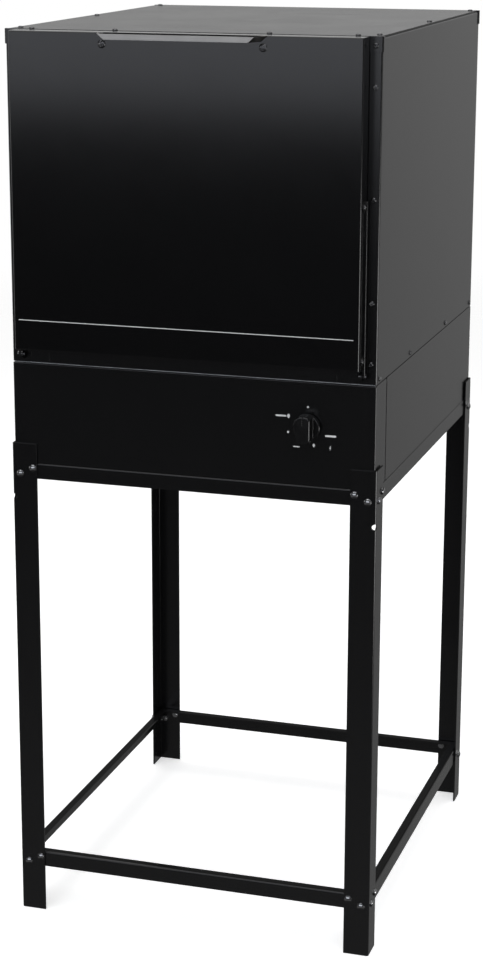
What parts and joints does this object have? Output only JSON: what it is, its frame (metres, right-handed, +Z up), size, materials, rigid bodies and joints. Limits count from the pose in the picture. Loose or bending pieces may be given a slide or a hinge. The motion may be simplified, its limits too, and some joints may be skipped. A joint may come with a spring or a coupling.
{
  "type": "gas baking oven on stand",
  "caption": "Insulated gas baking oven with a drop-down front door and one control knob, on a bolted stand of angle-steel legs and rails.",
  "frame": {"origin": "on the floor, under the middle of the whole object's box", "axes": "+X to the right seen from the front, +Y to the back, +Z up"},
  "size_m": [0.585, 0.766, 1.405],
  "materials": {
    "painted_black": "satin powder coat",
    "enamel_black": "gloss enamel",
    "zinc_steel": "zinc plated",
    "black_screw": "black oxide",
    "galvanised": "galvanised sheet",
    "enamel_grey": "speckled enamel",
    "mineral_wool": "matted fibre",
    "refractory": "rough fired",
    "plated_wire": "bright plated",
    "burner_steel": "heat darkened",
    "brass": "machined",
    "plain_steel": "turned",
    "aluminium_pipe": "drawn",
    "knob_plastic": "moulded satin",
    "handle_metal": "satin anodised",
    "gasket_fibre": "braided",
    "electrode_ceramic": "glazed"
  },
  "bodies": {
    "root": {"air_shutter": "burner_steel", "base_floor": "galvanised", "base_front_panel": "painted_black", "base_rear_panel": "painted_black", "base_side_left": "painted_black", "base_side_right": "painted_black", "body_floor": "galvanised", "burner_supports": "galvanised", "burner_tube": "burner_steel", "door_gasket": "gasket_fibre", "feed_pipe": "aluminium_pipe", "flue_duct": "galvanised", "flue_grille": "painted_black", "front_header": "painted_black", "front_post_left": "painted_black", "front_post_right": "painted_black", "front_sill": "painted_black", "gas_inlet_nipple": "brass", "gas_valve": "brass", "hearth_stone": "refractory", "hinge_brackets": "painted_black", "hinge_pins": "black_screw", "injector_elbow": "brass", "insulation_rear": "mineral_wool", "insulation_sides": "mineral_wool", "insulation_top": "mineral_wool", "leg_front_left": "painted_black", "leg_front_right": "painted_black", "leg_rear_left": "painted_black", "leg_rear_right": "painted_black", "liner_left": "enamel_grey", "liner_rear": "enamel_grey", "liner_right": "enamel_grey", "liner_top": "enamel_grey", "lower_cross_rails": "painted_black", "lower_side_rails": "painted_black", "panel_screws": "black_screw", "rack_support_left": "plated_wire", "rack_support_right": "plated_wire", "rear_panel": "painted_black", "side_panel_left": "painted_black", "side_panel_right": "painted_black", "spark_electrode": "electrode_ceramic", "stand_bolts": "zinc_steel", "stand_nuts": "zinc_steel", "supply_pipe": "aluminium_pipe", "top_cover": "painted_black", "top_cross_rails": "painted_black", "top_side_rails": "painted_black"},
    "door": {"door_outer_panel": "enamel_black", "door_inner_panel": "enamel_grey", "door_insulation": "mineral_wool", "door_handle": "handle_metal", "door_screws": "black_screw", "hinge_arms": "painted_black"},
    "valve_plunger": {"valve_plunger": "plain_steel"},
    "knob": {"control_knob": "knob_plastic", "valve_stem": "plain_steel"},
    "rack": {"wire_rack": "plated_wire"}
  },
  "joints": [
    {"name": "door_hinge", "type": "hinge", "parent": "root", "child": "door", "pos_m": [0, -0.326, 0.918], "axis": [1, 0, 0], "range_deg": [0, 90]},
    {"name": "knob_push", "type": "slide", "parent": "root", "child": "valve_plunger", "axis": [0, 1, 0], "range_m": [0, 0.0025], "stiffness_N_per_m": 400, "springref_m": -0.003},
    {"name": "knob_turn", "type": "hinge", "parent": "valve_plunger", "child": "knob", "pos_m": [0.182, -0.328, 0.8355], "axis": [0, -1, 0], "range_deg": [0, 250]},
    {"name": "rack_slide", "type": "slide", "parent": "root", "child": "rack", "axis": [0, -1, 0], "range_m": [0, 0.035]}
  ]
}
